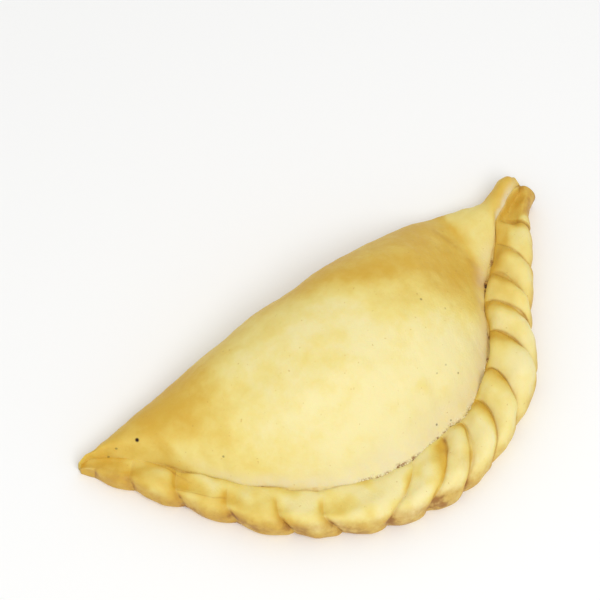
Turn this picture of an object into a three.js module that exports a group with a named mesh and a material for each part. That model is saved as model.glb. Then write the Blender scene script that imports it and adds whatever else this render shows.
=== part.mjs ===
// A baked vegetable turnover: a disc of dough folded over its filling and shut with a rolled crimp.
//
// Frame, in millimetres: the turnover lies flat on its baked base at z = 0. X runs from tip to tip,
// +Y towards the fold, -Y towards the crimp, and Z is up. The origin is under the middle of its box.
//
// The crust is one closed surface, made of ribs that lie side by side from the end tab to the far tip.
// Each rib is a closed loop: it rounds the fold, climbs over the filled dome, dips at the seam, follows
// one crease over the rope of pleats, and comes back flat under the base.
import * as THREE from "three";

// Plan lines, in a drawing frame whose X joins the two ends of the fold
const ROPE_LINE = [
  // the middle of the crimp, from the end tab round to the far tip
  [79.9, 0.8], [75.6, -1.8], [72, -5], [66.5, -11.5], [61, -17.5], [50, -31.5], [44.8, -39.5],
  [38.5, -46.5], [24, -56], [5, -60], [-15, -56], [-37, -42], [-52, -24], [-60, -14], [-71.3, -1],
];
const FOLD_LINE = [
  // the nose of the fold, between the same ends
  [78.6, 6.2], [75, 7.2], [71, 5.4], [66, 4.2], [60, 6.4], [48, 9.2], [22, 10.2], [-8, 8.7],
  [-38, 5], [-71.4, 0],
];
const TAB_LENGTH = 10; // of the folded tab, along the rope, before the place where distances start

// Filled dome
const CROWN_HEIGHT = 30;
const CROWN_X = 6;
const FLAT_HEIGHT = 10.5; // two sheets of dough, where there is no filling
const FLAT_ABOVE_SEAM = 2.2; // the most that a flat end stands above its seam
const FILLING_TO_TAB = { reach: 47, fullness: 2.5, fade: 1.3 };
const FILLING_TO_TIP = { reach: 78, fullness: 1.9, fade: 1.6 };
const SEAM_SIDE = { fullness: 2.4, fade: 1.15 };

// Fold
const NOSE_HEIGHT = 5.5;
const NOSE_SHARE_OF_SEAM = 0.62; // a thin end has its nose lower
const UNDERCUT = 3.5; // how far the fold draws in under its nose
const ROUNDING = { flat: 7, filled: 24 }; // from the nose to the top of the fold's curve
const MOST_ROUNDING = 0.5; // as a share of the way from the nose to the seam
const MOST_UNDERCUT = 0.3; // the same
const FILLING_READ_AT = 0.4; // the place on the way to the seam where the rounding reads the filling

// Rope of pleats, at distances along its middle line: its width from there out to the rim, the height
// of its top, and how far the seam is lifted where it is a ridge
const ROPE = [
  { at: -10, rim: 2.2, top: 7.4, lift: 1.6 },
  { at: -7, rim: 2.4, top: 8.0, lift: 3.0 },
  { at: -3, rim: 2.8, top: 8.4, lift: 2.8 },
  { at: 3, rim: 3.4, top: 9.4, lift: 1.2 },
  { at: 20, rim: 5.6, top: 10.0, lift: 0 },
  { at: 48, rim: 5.9, top: 10.0, lift: 0 },
  { at: 66, rim: 5.0, top: 9.8, lift: 0 },
  { at: 100, rim: 4.0, top: 9.6, lift: 0 },
  { at: 130, rim: 2.9, top: 9.2, lift: 0 },
  { at: 160, rim: 2.4, top: 8.2, lift: 0 },
  { at: 170, rim: 1.9, top: 7.6, lift: 0.3 },
  { at: 180, rim: 1.4, top: 6.8, lift: 1.3 },
  { at: 187, rim: 0.4, top: 5.4, lift: 1.5 },
  { at: 192, rim: 0, top: 2.4, lift: 0.4 },
];
// How far inside the rope's line the seam lies, at distances along it: it wanders as hands leave it
const SEAM_INSET = [
  [-10, 2.2], [-3, 3.6], [3, 5.8], [8, 5.4], [14, 5.6], [19, 6.4], [24, 7.1], [30, 7.2], [37, 6.2],
  [43, 6.3], [50, 7.4], [55, 7.2], [63, 7.6], [70, 8.0], [76, 9.6], [85, 9.8], [96, 9.0], [108, 8.4],
  [119, 7.6], [130, 7.2], [137, 7.5], [147, 6.2], [155, 6.0], [163, 5.4], [168, 5.8], [176, 5.2],
  [183, 4.3], [187, 3.0], [192, 1.0],
].map(([at, inset]) => ({ at, inset }));
const SEAM_ANGLE = 0.3; // round the rope's section, from the inside, over the top, to the floor
const FLOOR_ANGLE = 4.1;
const MIDDLE_OF_TOP = 0.46; // the section is widest at this share of its height
const TOP_SQUARE = { out: 1.0, up: 0.8 }; // below 1 makes the section fuller than an ellipse
const UNDER_SQUARE = { out: 0.6, up: 0.8 };
const LIFT_ACROSS = 0.2;

// Pleats, from the tab to the far tip. Each starts at a crease: its distance along the seam, how far
// it has slid on when it is over the rope's top, and how far it slides on down the outside. Then the
// roll's height on the top and at the rim, and where across the rope it starts. Then the hollow that a
// thumb pressed beside the next crease: its depth, and its length as a share of the pleat.
const PLEATS = [
  [0.8, 2.6, 0, 1.8, 1.3, 0.3, 0, 0.5],
  [10.4, 6.0, 0.6, 3.0, 1.2, 0.06, 0, 0.5],
  [19.4, 10.2, 0.6, 3.0, 0.9, 0, 0, 0.5],
  [28.8, 6.6, 1.4, 2.8, 0.7, 0.02, 0, 0.5],
  [37.5, 11.6, 1.6, 3.2, 1.5, -0.02, 0, 0.5],
  [51.0, 11.8, 2.2, 3.2, 0.8, 0, 0, 0.5],
  [62.2, 12.0, 1.4, 3.1, 1.0, 0.02, 0, 0.5],
  [72.2, 12.2, 2.4, 3.0, 2.0, 0.02, 0, 0.5],
  [80.2, 15.0, 1.0, 2.0, 1.8, 0.1, 0.8, 0.45],
  [94.0, 13.0, 0, 1.5, 1.6, 0.2, 1.7, 0.5],
  [123.0, 0.2, -4.6, 1.2, 2.0, 0.24, 1.1, 0.4],
  [136.6, -2.2, -3.6, 1.1, 2.1, 0.26, 1.0, 0.45],
  [150.6, -2.4, -2.2, 1.2, 2.0, 0.24, 1.1, 0.8],
  [165.0, -2.4, -2.0, 1.5, 1.9, 0.1, 0.4, 0.5],
  [177.0, -0.6, -1.4, 0.4, 1.3, 0.35, 0, 0.5],
].map(([at, slide, down, top, rim, start, hollow, hollowShare]) => ({
  at, slide, down, top, rim, start, hollow, hollowShare,
}));
const TAB = { at: -10, slide: 0, down: 0, top: 0.8, rim: 0.8, start: 0.1, hollow: 3.4 };
const TIP = { at: 185, slide: 1.5, down: 0, top: 0, rim: 0, start: 0, hollow: 0, hollowShare: 0.5 };
const TAB_END_LIP = 3; // of the folded tab, where its pocket closes
const TAB_POCKET_FADES = 0.3; // as a share of the first pleat
const TAB_DENT = { across: 0.24, reach: 0.17 };
const HOLLOW = { across: 0.29, reach: 0.13, ease: 0.7, past: 0.16 };
const SLIDE_CURVE = 1.5; // a crease leaves the seam square to it, then bends along the rope
const SLIDE_DOWN = { from: 0.45, to: 0.85 };
const STEEP_SIDE = { top: 0.38, rim: 0.3, looseRim: 0.5 }; // share of a pleat that its steep side takes
const STEEP_CHANGES_BY = 1.6; // across the rope, the rim's share is reached at 1 over this
const RIM = { from: 0.4, reach: 0.25 }; // across the rope, where the roll takes its height at the rim
const LOOSE_PLEATS = 7; // these, from the tab on, are rounder at the rim
const SINK_CURVE = 1.7;
const START_EASE = 0.25;
const TO_FLOOR = { from: 0.75, swell: 0.55 }; // below here a pleat shrinks to this share of its roll

// Fineness of the surface
const RIBS_PER_PLEAT = 9;
const RIBS_CLOSE_IN = 1.4; // ribs crowd towards the crease that a pleat starts at
const TAB_RIBS = 6;
const TIP_RIBS = 4;
const NOSE_STEPS = 5;
const UNDER_NOSE = [0, 0.35, 0.7]; // as shares of the quarter turn under the nose
const DOME_STEPS = 9;
const ROPE_STEPS = 13;

const mix = (a, b, t) => a + (b - a) * t;
const clamp01 = (t) => Math.min(1, Math.max(0, t));
const smooth = (t) => clamp01(t) ** 2 * (3 - 2 * clamp01(t));
const fall = (t, { fullness, fade }) => (1 - clamp01(t) ** fullness) ** fade; // from 1 down to 0
const bump = (value, centre, reach) => Math.exp(-(((value - centre) / reach) ** 2));

// A smooth line through points, read at a distance along it.
function planLine(points) {
  const curve = new THREE.SplineCurve(points.map(([x, y]) => new THREE.Vector2(x, y)));
  curve.arcLengthDivisions = 1200;
  const length = curve.getLength();
  return {
    length,
    at: (distance) => curve.getPointAt(clamp01(distance / length)),
    along: (distance) => curve.getTangentAt(clamp01(distance / length)),
  };
}
const ropeLine = planLine(ROPE_LINE);
const foldLine = planLine(FOLD_LINE);

// Measures at a distance along the rope, eased from one station to the next.
function eased(stations, distance) {
  const last = stations.length - 1;
  const next = stations.findIndex((station) => station.at > distance);
  const to = next < 0 ? last : Math.max(next, 1);
  const [a, b] = [stations[to - 1], stations[to]];
  const t = smooth((distance - a.at) / (b.at - a.at));
  return Object.fromEntries(Object.keys(a).map((key) => [key, mix(a[key], b[key], t)]));
}

// How full the crust is at x: 1 at the crown, 0 where the two sheets meet.
function filling(x) {
  const side = x > CROWN_X ? FILLING_TO_TAB : FILLING_TO_TIP;
  return fall(Math.abs(x - CROWN_X) / side.reach, side);
}

// The rope's smooth section: how far out, how high, the way out and up that it swells, and how far
// over the top this is, from 0 at the seam to 1 at the rim.
function section(distance, across) {
  const angle = mix(SEAM_ANGLE, FLOOR_ANGLE, across);
  const { rim, top, lift } = eased(ROPE, distance);
  const { inset } = eased(SEAM_INSET, distance);
  const middle = top * MIDDLE_OF_TOP;
  const width = Math.cos(angle) > 0 ? inset / Math.cos(SEAM_ANGLE) ** TOP_SQUARE.out : rim;
  const under = Math.sin(angle) < 0;
  const squareness = under ? UNDER_SQUARE : TOP_SQUARE;
  const out = -Math.sign(Math.cos(angle)) * Math.abs(Math.cos(angle)) ** squareness.out;
  const up = Math.sign(Math.sin(angle)) * Math.abs(Math.sin(angle)) ** squareness.up;
  const reach = width * out;
  const height = middle + (under ? middle : top - middle) * up + lift * smooth(1 - across / LIFT_ACROSS);
  const over = angle > Math.PI ? 1 : clamp01((reach + inset) / (inset + rim));
  return { reach, height, out, up, over };
}

// The height that a pleat adds: steep out of its crease, then sinking slowly to the next one.
function swell({ pleat, index, within }, across) {
  const rim = index < LOOSE_PLEATS ? STEEP_SIDE.looseRim : STEEP_SIDE.rim;
  const steep = mix(STEEP_SIDE.top, rim, clamp01(across * STEEP_CHANGES_BY));
  const climb = clamp01(within / steep);
  const atRim = smooth((across - RIM.from) / RIM.reach);
  const roll =
    within < steep
      ? mix(Math.sin((climb * Math.PI) / 2), Math.sqrt(1 - (1 - climb) ** 2), atRim)
      : 1 - ((within - steep) / (1 - steep)) ** SINK_CURVE;
  const towardsFloor = mix(1, TO_FLOOR.swell, smooth((across - TO_FLOOR.from) / (1 - TO_FLOOR.from)));
  const started = smooth((across - pleat.start) / START_EASE);
  return mix(pleat.top, pleat.rim, atRim) * roll * started * towardsFloor;
}

// How deep the surface is pressed in: the thumb's hollows, deepest at the foot of the next pleat, and
// the pocket of the folded tab.
function pressedIn({ pleat, index, within, seamAt }, across) {
  const atTab = bump(across, TAB_DENT.across, TAB_DENT.reach);
  if (index < 0) return TAB.hollow * smooth((seamAt - TAB.at) / TAB_END_LIP) * atTab;
  const length = pleat.hollowShare;
  const own = pleat.hollow * smooth((within - 1 + length) / (length * HOLLOW.ease));
  const before = index > 0 ? PLEATS[index - 1].hollow * smooth(1 - within / HOLLOW.past) : 0;
  const pocket = index === 0 ? TAB.hollow * smooth(1 - within / TAB_POCKET_FADES) * atTab : 0;
  return Math.max(own, before) * bump(across, HOLLOW.across, HOLLOW.reach) + pocket;
}

// A place on the rope: across runs from 0 at the seam, over the top, to 1 on the floor outside.
function ropePoint(rib, across) {
  const slid = rib.slide * section(rib.seamAt, across).over ** SLIDE_CURVE;
  const down = rib.down * smooth((across - SLIDE_DOWN.from) / (SLIDE_DOWN.to - SLIDE_DOWN.from));
  const distance = rib.seamAt + slid + down;
  const here = ropeLine.at(distance + TAB_LENGTH);
  const along = ropeLine.along(distance + TAB_LENGTH);
  const { reach, height, out, up } = section(distance, across);
  const grown = across > 0 ? swell(rib, across) : 0; // the foot of the seam stays smooth
  const pressed = across > 0 ? pressedIn(rib, across) : 0;
  const width = reach + grown * out;
  return [here.x - along.y * width, here.y + along.x * width, Math.max(height + (grown - pressed) * up, 0)];
}

// The closed loop of one rib, from the floor under the fold over to the floor outside the rope.
function ribLoop(rib) {
  const share = clamp01((rib.seamAt + TAB_LENGTH) / ropeLine.length);
  const nose = foldLine.at(share * foldLine.length);
  const [seamX, seamY, seamZ] = ropePoint(rib, 0);
  const length = Math.hypot(seamX - nose.x, seamY - nose.y);
  const place = (inwards) => [
    mix(nose.x, seamX, inwards / length),
    mix(nose.y, seamY, inwards / length),
  ];
  const rounded = mix(ROUNDING.flat, ROUNDING.filled, filling(mix(nose.x, seamX, FILLING_READ_AT)));
  const rounding = Math.min(rounded, length * MOST_ROUNDING);
  const noseZ = Math.min(NOSE_HEIGHT, seamZ * NOSE_SHARE_OF_SEAM);
  const undercut = Math.min(UNDERCUT, length * MOST_UNDERCUT);
  const flat = Math.min(FLAT_HEIGHT, seamZ + FLAT_ABOVE_SEAM);
  const top = (x) => mix(flat, CROWN_HEIGHT, filling(x));

  const loop = UNDER_NOSE.map((turn) => {
    const angle = (turn * Math.PI) / 2;
    return [...place(undercut * (1 - Math.sin(angle))), noseZ * (1 - Math.cos(angle))];
  });
  for (let i = 0; i < NOSE_STEPS; i++) {
    const angle = ((i / NOSE_STEPS) * Math.PI) / 2;
    const [x, y] = place(rounding * (1 - Math.cos(angle)));
    loop.push([x, y, mix(noseZ, top(x), Math.sin(angle))]);
  }
  for (let i = 0; i <= DOME_STEPS; i++) {
    const [x, y] = place(mix(rounding, length, i / DOME_STEPS));
    loop.push([x, y, mix(seamZ, top(x), fall(i / DOME_STEPS, SEAM_SIDE))]);
  }
  for (let i = 1; i <= ROPE_STEPS; i++) loop.push(ropePoint(rib, i / ROPE_STEPS));
  loop[loop.length - 1][2] = 0;
  return loop;
}

// The ribs in order: the tab, then each pleat from its crease on, then the far tip.
function allRibs() {
  const ribs = [];
  const between = (a, b, share) => ({
    seamAt: mix(a.at, b.at, share),
    slide: mix(a.slide, b.slide, share),
    down: mix(a.down, b.down, share),
  });
  for (let i = 0; i < TAB_RIBS; i++)
    ribs.push({ index: -1, pleat: TAB, within: 0.5, ...between(TAB, PLEATS[0], i / TAB_RIBS) });
  PLEATS.forEach((pleat, index) => {
    for (let i = 0; i < RIBS_PER_PLEAT; i++) {
      const within = (i / RIBS_PER_PLEAT) ** RIBS_CLOSE_IN;
      ribs.push({ index, pleat, within, ...between(pleat, PLEATS[index + 1] ?? TIP, within) });
    }
  });
  const end = { at: ropeLine.length - TAB_LENGTH, slide: 0, down: 0 };
  for (let i = 0; i < TIP_RIBS; i++)
    ribs.push({ index: PLEATS.length, pleat: TIP, within: 0, ...between(TIP, end, i / (TIP_RIBS - 1)) });
  return ribs;
}

// Joins the loops into a closed surface, with a fan over each end.
function skin(loops) {
  const rows = loops[0].length;
  const positions = loops.flat();
  const triangles = [];
  const next = (j) => (j + 1) % rows;
  for (let i = 0; i + 1 < loops.length; i++)
    for (let j = 0; j < rows; j++) {
      const [a, b] = [i * rows + j, i * rows + next(j)];
      triangles.push(a, a + rows, b, b, a + rows, b + rows);
    }
  for (const end of [0, loops.length - 1]) {
    const centre = positions.length;
    positions.push([0, 1, 2].map((k) => loops[end].reduce((sum, p) => sum + p[k], 0) / rows));
    for (let j = 0; j < rows; j++) {
      const [a, b] = [end * rows + j, end * rows + next(j)];
      triangles.push(centre, ...(end === 0 ? [a, b] : [b, a]));
    }
  }
  const geometry = new THREE.BufferGeometry();
  geometry.setAttribute("position", new THREE.Float32BufferAttribute(positions.flat(), 3));
  geometry.setIndex(triangles);
  return geometry;
}

const crust = skin(allRibs().map(ribLoop));
crust.computeBoundingBox();
const middle = crust.boundingBox.getCenter(new THREE.Vector3());
crust.translate(-middle.x, -middle.y, 0);
crust.computeVertexNormals();

const bakedDough = new THREE.MeshStandardMaterial({ color: 0xefdd93, roughness: 0.55, metalness: 0 });
const turnover = new THREE.Mesh(crust, bakedDough);
turnover.name = "turnover";

const group = new THREE.Group();
group.add(turnover);
export default group;
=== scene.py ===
import math

import bpy
import numpy as np
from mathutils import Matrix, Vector


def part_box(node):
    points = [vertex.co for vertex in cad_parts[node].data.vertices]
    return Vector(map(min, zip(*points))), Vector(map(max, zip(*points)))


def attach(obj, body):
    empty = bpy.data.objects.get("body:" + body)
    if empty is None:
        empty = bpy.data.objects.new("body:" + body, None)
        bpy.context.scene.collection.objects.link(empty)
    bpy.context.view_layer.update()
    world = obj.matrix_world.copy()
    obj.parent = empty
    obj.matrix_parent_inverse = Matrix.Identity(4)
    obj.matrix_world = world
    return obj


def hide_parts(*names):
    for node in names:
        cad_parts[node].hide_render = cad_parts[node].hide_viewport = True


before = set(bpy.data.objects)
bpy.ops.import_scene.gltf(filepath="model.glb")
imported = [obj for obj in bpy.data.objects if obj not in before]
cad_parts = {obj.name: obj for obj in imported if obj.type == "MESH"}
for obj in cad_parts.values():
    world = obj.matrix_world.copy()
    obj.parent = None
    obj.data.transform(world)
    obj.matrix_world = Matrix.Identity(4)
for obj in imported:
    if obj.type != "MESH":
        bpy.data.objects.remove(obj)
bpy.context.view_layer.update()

MM = 0.001
BODY = "root"
SOLID = "turnover"

# Plan lines: the middle of the crimp from the end tab to the far tip, and the nose of the fold
ROPE_LINE = [
    (79.9, 0.8), (75.6, -1.8), (72, -5), (66.5, -11.5), (61, -17.5), (50, -31.5), (44.8, -39.5),
    (38.5, -46.5), (24, -56), (5, -60), (-15, -56), (-37, -42), (-52, -24), (-60, -14),
    (-71.3, -1.0),
]
FOLD_LINE = [
    (78.6, 6.2), (75, 7.2), (71, 5.4), (66, 4.2), (60, 6.4), (48, 9.2), (22, 10.2), (-8, 8.7),
    (-38, 5), (-71.4, 0),
]
TAB_LENGTH = 10.0  # of the folded tab, before the place where distances along the rope start

# Filled dome: how each side falls away is a reach, a fullness and a fade
CROWN_HEIGHT = 30.0
CROWN_X = 6.0
FLAT_HEIGHT = 10.5  # two sheets of dough, where there is no filling
FLAT_ABOVE_SEAM = 2.2
FILLING_TO_TAB = (47.0, 2.5, 1.3)
FILLING_TO_TIP = (78.0, 1.9, 1.6)
SEAM_FULLNESS, SEAM_FADE = 2.4, 1.15

# Fold
NOSE_HEIGHT = 5.5
NOSE_SHARE_OF_SEAM = 0.62
UNDERCUT = 3.5
ROUNDING_FLAT, ROUNDING_FILLED = 7.0, 24.0
FILLING_READ_AT = 0.4  # of the way from the nose to the seam, for a rib's rounding
MOST_ROUNDING, MOST_UNDERCUT = 0.5, 0.3  # as shares of the way from the nose to the seam

# Rope of pleats: distance along its line, width from there out to the rim, height of its top, and
# how far its seam is lifted where it is a ridge
ROPE = np.array([
    (-10, 2.2, 7.4, 1.6),
    (-7, 2.4, 8.0, 3.0),
    (-3, 2.8, 8.4, 2.8),
    (3, 3.4, 9.4, 1.2),
    (20, 5.6, 10.0, 0),
    (48, 5.9, 10.0, 0),
    (66, 5.0, 9.8, 0),
    (100, 4.0, 9.6, 0),
    (130, 2.9, 9.2, 0),
    (160, 2.4, 8.2, 0),
    (170, 1.9, 7.6, 0.3),
    (180, 1.4, 6.8, 1.3),
    (187, 0.4, 5.4, 1.5),
    (192, 0, 2.4, 0.4),
])
# How far inside the rope's line the seam lies, at distances along it: it wanders as hands leave it
SEAM_INSET = np.array([
    (-10, 2.2), (-3, 3.6), (3, 5.8), (8, 5.4), (14, 5.6), (19, 6.4), (24, 7.1), (30, 7.2),
    (37, 6.2), (43, 6.3), (50, 7.4), (55, 7.2), (63, 7.6), (70, 8.0), (76, 9.6), (85, 9.8),
    (96, 9.0), (108, 8.4), (119, 7.6), (130, 7.2), (137, 7.5), (147, 6.2), (155, 6.0), (163, 5.4),
    (168, 5.8), (176, 5.2), (183, 4.3), (187, 3.0), (192, 1.0),
])
SEAM_ANGLE, FLOOR_ANGLE = 0.3, 4.1  # round the rope's section, over its top
MIDDLE_OF_TOP = 0.46
TOP_OUT, TOP_UP, UNDER_OUT, UNDER_UP = 1.0, 0.8, 0.6, 0.8
LIFT_ACROSS = 0.2

# Pleats from the tab to the tip. Each starts at a crease: its distance along the seam, how far it
# has slid on when it is over the rope's top, and how far it slides on down the outside. Then the
# roll's height on the top and at the rim, and where across the rope it starts. Then the hollow
# that a thumb pressed beside the next crease: its depth, and its length as a share of the pleat.
PLEATS = np.array([
    (0.8, 2.6, 0, 1.8, 1.3, 0.30, 0, 0.5),
    (10.4, 6.0, 0.6, 3.0, 1.2, 0.06, 0, 0.5),
    (19.4, 10.2, 0.6, 3.0, 0.9, 0.0, 0, 0.5),
    (28.8, 6.6, 1.4, 2.8, 0.7, 0.02, 0, 0.5),
    (37.5, 11.6, 1.6, 3.2, 1.5, -0.02, 0, 0.5),
    (51.0, 11.8, 2.2, 3.2, 0.8, 0.0, 0, 0.5),
    (62.2, 12.0, 1.4, 3.1, 1.0, 0.02, 0, 0.5),
    (72.2, 12.2, 2.4, 3.0, 2.0, 0.02, 0, 0.5),
    (80.2, 15.0, 1.0, 2.0, 1.8, 0.10, 0.8, 0.45),
    (94.0, 13.0, 0, 1.5, 1.6, 0.20, 1.7, 0.5),
    (123.0, 0.2, -4.6, 1.2, 2.0, 0.24, 1.1, 0.4),
    (136.6, -2.2, -3.6, 1.1, 2.1, 0.26, 1.0, 0.45),
    (150.6, -2.4, -2.2, 1.2, 2.0, 0.24, 1.1, 0.8),
    (165.0, -2.4, -2.0, 1.5, 1.9, 0.10, 0.4, 0.5),
    (177.0, -0.6, -1.4, 0.4, 1.3, 0.35, 0, 0.5),
])
TAB = (-10, 0, 0, 0.8, 0.8, 0.1, 3.4, 0)
TIP = (185, 1.5, 0, 0, 0, 0, 0, 0)
TAB_END_LIP = 3.0  # of the folded tab, where its pocket closes
TAB_POCKET_FADES = 0.3  # as a share of the first pleat
SLIDE_CURVE = 1.5  # a crease leaves the seam square to it, then bends along the rope
SLIDE_DOWN_FROM, SLIDE_DOWN_TO = 0.45, 0.85
STEEP_AT_TOP, STEEP_AT_RIM, STEEP_AT_LOOSE_RIM = 0.38, 0.46, 0.5  # shares of a pleat
STEEP_CHANGES_BY = 1.6  # across the rope, the rim's share is reached at 1 over this
RIM_FROM, RIM_REACH = 0.4, 0.25  # across the rope, where the roll takes its height at the rim
LOOSE_PLEATS = 7  # these, from the tab on, are rounder at the rim
SOFT_FROM, SOFT_TO = 72, 94  # between these distances the sharp creases turn into soft ones
SINK_CURVE = 1.7
START_EASE = 0.25
SEAM_FOOT = 0.05  # across the rope, over which rolls and hollows leave the seam
TO_FLOOR_FROM, SWELL_AT_FLOOR = 0.75, 0.55  # below here a pleat shrinks to this share of its roll
TAB_DENT_ACROSS, TAB_DENT_REACH = 0.24, 0.17
HOLLOW_ACROSS, HOLLOW_REACH = 0.29, 0.13
HOLLOW_EASE, HOLLOW_PAST = 0.7, 0.16
OVERLAP = 0.45  # how far a sharp pleat leans back over the one before it
OVERLAP_ENDS = 0.3  # the last share across the rope, over which it stops leaning
CREASE_DEPTH, CREASE_WIDTH, SOFT_CREASE_DEPTH, SOFT_CREASE_WIDTH = 0.35, 0.35, 0.2, 0.9
# Across the rope: how far before its roll a crease starts, over how much, and over how much it ends
CREASE_AHEAD, CREASE_EASE, CREASE_ENDS = 0.1, 0.12, 0.25

# The seam is a groove, save where it is a ridge by the tab, and filled up in the middle and at the
# tip. Stretches along the rope are where they start, then over how much they come in.
SEAM_DEPTH, SEAM_FILL, SEAM_WIDTH = 0.15, 0.15, 0.6
RIDGE_UP_TO, RIDGE_FADES = 7, 4
FILLED_FROM, FILLED_TO, TIP_CLOSES = (44, 8), (112, 6), (164, 12)

SOFTENED = 16  # rounds of evening out, for the rolls from SOFT_TO on
SOFTENED_SHARE = 0.6  # of the way to even, each round
SOFTENED_ABOVE, FORMED_ABOVE = 2.0, 3.0  # heights from which softening and fine forms are full
ROPE_GIRTH = 26.0  # roughly, from the seam over the rope to the floor
FAR = 99.0  # farther than anything on the crust

# Unevenness of hand-worked dough: height, size and seed of each field of gentle hills
UNEVEN = [(0.26, 26, 1), (0.10, 9, 2), (0.05, 4.5, 3)]
ROPE_UNEVEN = (0.16, 7, 7)

# Browner spots on the rope: distance along it, share of the way across it, size and strength
TOASTED = [
    (132, 0.57, 2.8, 0.2), (91.5, 0.69, 2.2, 0.9), (80.5, 0.12, 1.6, 0.5), (84, 0.22, 1.6, 0.4),
    (83, 0.4, 3, 0.3), (178.5, 0.54, 3.5, 0.4),
]
# The same four for spots that are more golden than the dough round them, or paler where negative
TINTED = [
    (76, 0.34, 3.5, -1.1), (102, 0.28, 4, -0.3), (84.6, 0.33, 3, 0.12), (27.5, 0.28, 3.5, 0.25),
    (38.5, 0.36, 3, 0.2), (132, 0.57, 2.6, 0.5), (120, 0.45, 2.4, 0.35), (95.5, 0.3, 2.8, 0.25),
    (147.5, 0.67, 2.4, 0.3), (111, 0.5, 1.8, 0.25), (129, 0.22, 4, -0.25),
    (159, 0.5, 3, -0.25),
]
# Dark cracks in the seam: distance along it, reach along it, width across it and strength
CRACKS = [
    (15.8, 1.6, 0.5, 0.5), (24.6, 2.0, 0.5, 2.4), (31, 1.2, 0.6, 0.6), (38.5, 1.2, 1.2, 0.6),
    (47, 1.4, 0.4, 0.5), (57, 1.0, 0.4, 0.4), (75, 0.7, 0.6, 0.6), (80.5, 0.9, 0.9, 0.6),
    (85, 0.7, 0.6, 0.7), (92.5, 1.3, 0.7, 0.8), (97.7, 2.4, 0.9, 0.7), (104, 1.8, 0.4, 0.8),
    (109.5, 1.6, 0.5, 1), (141, 1.0, 0.5, 0.5),
]
MOST_BURNT = 3.0  # an attribute holds 0 to 1, so burnt marks are kept as shares of this
# Small dark pits in the dome: x and y in plan, size and darkness
PITS = [
    (-55.7, -6.3, 0.6, 1), (-61.5, -4.3, 0.4, 0.5), (-64, -4.2, 0.4, 0.4),
    (-39.9, -23.8, 0.35, 0.5), (26.7, -20.2, 0.4, 0.5), (25.5, -39.3, 0.35, 0.5),
    (31.9, -24.1, 0.3, 0.3), (19.4, -37.9, 0.3, 0.3), (23.1, -36.9, 0.3, 0.3),
    (13.4, -46.8, 0.35, 0.6), (17.9, -47.3, 0.3, 0.5),
]
# Fine dark lines in the soft rolls by the far tip, painted crease shade with some browning:
# distances along the rope and shares across it
FINE_LINES = [
    [(170, 0.07), (165, 0.15), (160, 0.24)],
    [(162.4, 0.44), (157.9, 0.41), (152.4, 0.39), (149.8, 0.31)],
]
# Where the filled bulge ends, on the tab's side, in plan; a line of painted shade follows it
BULGE_FOOT = [(47.5, 2), (50, -3), (52, -8), (51.5, -13), (50, -17)]

# Where the oven browned the crust, and where shade is painted into its colour as darker gold and
# brown:
# along the fold, on the bulge's flank and foot, after the creases and on the rope's outer side. A
# spot is a centre and a reach; a stretch is where it starts and over how much it comes in. Both are
# in millimetres, or in shares of the way across the rope. The plain numbers in the functions that
# read them are strengths, where 1 is full.
SIDE_TO_TIP, TIP_END, TIP_LESS = (20, 24), (45, 9), (48, 8)
PALE_BESIDE_SEAM = (2, 10)
SHOULDER, FLANK_SHADE, FLANK_SHADE_UP = (28, 24), (45, 7), (-20, 9)
FOLD_BAND, FOLD_EDGE, SHOULDER_EDGE = 16, 3, 9
PAST_BULGE, TAB_SIDE = (49, 9), (63, 6)
UPPER_SIDE, TO_THE_TAB = (-36, 20), (5, 30)
FOOT_SHADE_WIDTH, FOOT_SHADE_LINE = 2.2, 1.1
LOWER_ROLLS = (90, 16)  # from here on the rolls lie flatter, and take less gold and brown in their creases
NEAR_ROOT, OUTER_SIDE = (0.2, 0.3), (0.5, 0.35)
FIRST_PLEATS, TAB_POCKET = (16, 22), (-1, 3)
AMBER_ROOT, AMBER_ROOT_ACROSS, SEAM_SIDE = (9, 9), (0.12, 0.13), 2.0
ROOT_FROM, ROOT_TO, TIP_ROPE = (6, 6), (60, 10), (174, 5)
EDGE_WAVES, BULGE_WAVES = (3, 18, 22), (4, 16, 21)  # height, size and seed, so that edges wander
MOTTLE = [(0.06, 24, 11), (0.05, 9, 12)]
ROPE_MOTTLE, ROPE_MOTTLE_FROM = (0.14, 7, 15), (84, 10)

# Where flour stays beside the seam: stretches along it, and how wide the band is in each
DUSTED_FROM, DUSTED_TO, FULLY_DUSTED = (6, 16), (144, 18), (34, 14)
BAND_BY_TAB, BAND_AT_MIDDLE, BAND_AT_TIP, BAND_NARROWS = 4, 8, 3, (100, 20)
TAB_FLOUR, TAB_FLOUR_FROM_SEAM = (-1, 8), (0.3, 1.4)

# Crumbs in the seam: between these distances along it, over this many rows of the mesh each side
CRUMBS_FROM, CRUMBS_TO, CRUMB_ROWS = 48, 114, 4
CRUMB_DENSITY = 1.1e6  # a square metre
SMALLEST_CRUMB, LARGEST_CRUMB = 0.11, 0.36  # radii

# Fineness of the mesh, in millimetres along the rope and in steps across each stretch of a rib
RIB_SPACING = 0.36
RIBS_CLOSE_IN = 0.62
NOSE_STEPS, UNDER_STEPS, DOME_STEPS, SEAM_STEPS, ROPE_STEPS, BASE_STEPS = 11, 4, 38, 9, 74, 12
# The dome beside the seam has finer steps: over this width, or this share of a rib that is short
SEAM_BAND, SEAM_BAND_SHARE = 3.0, 0.2
SEAM_STEPS_CURVE = 1.7
ROPE_STEPS_CURVE, ROPE_STEPS_EVEN_BY = 1.5, 1.4  # crowded at the seam, even from 1 over this on

# Colours
PALE, YELLOW, WARM, GOLDEN, AMBER = "#F1E4A6", "#EDDA84", "#E5C864", "#DAB040", "#D29A30"
TAN, BROWN, CHAR, FLOUR = "#C39540", "#96602A", "#2A180C", "#EBE0BC"
DRY_CRUMB, BACKDROP = "#F1E6BE", "#FDFDFC"
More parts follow.
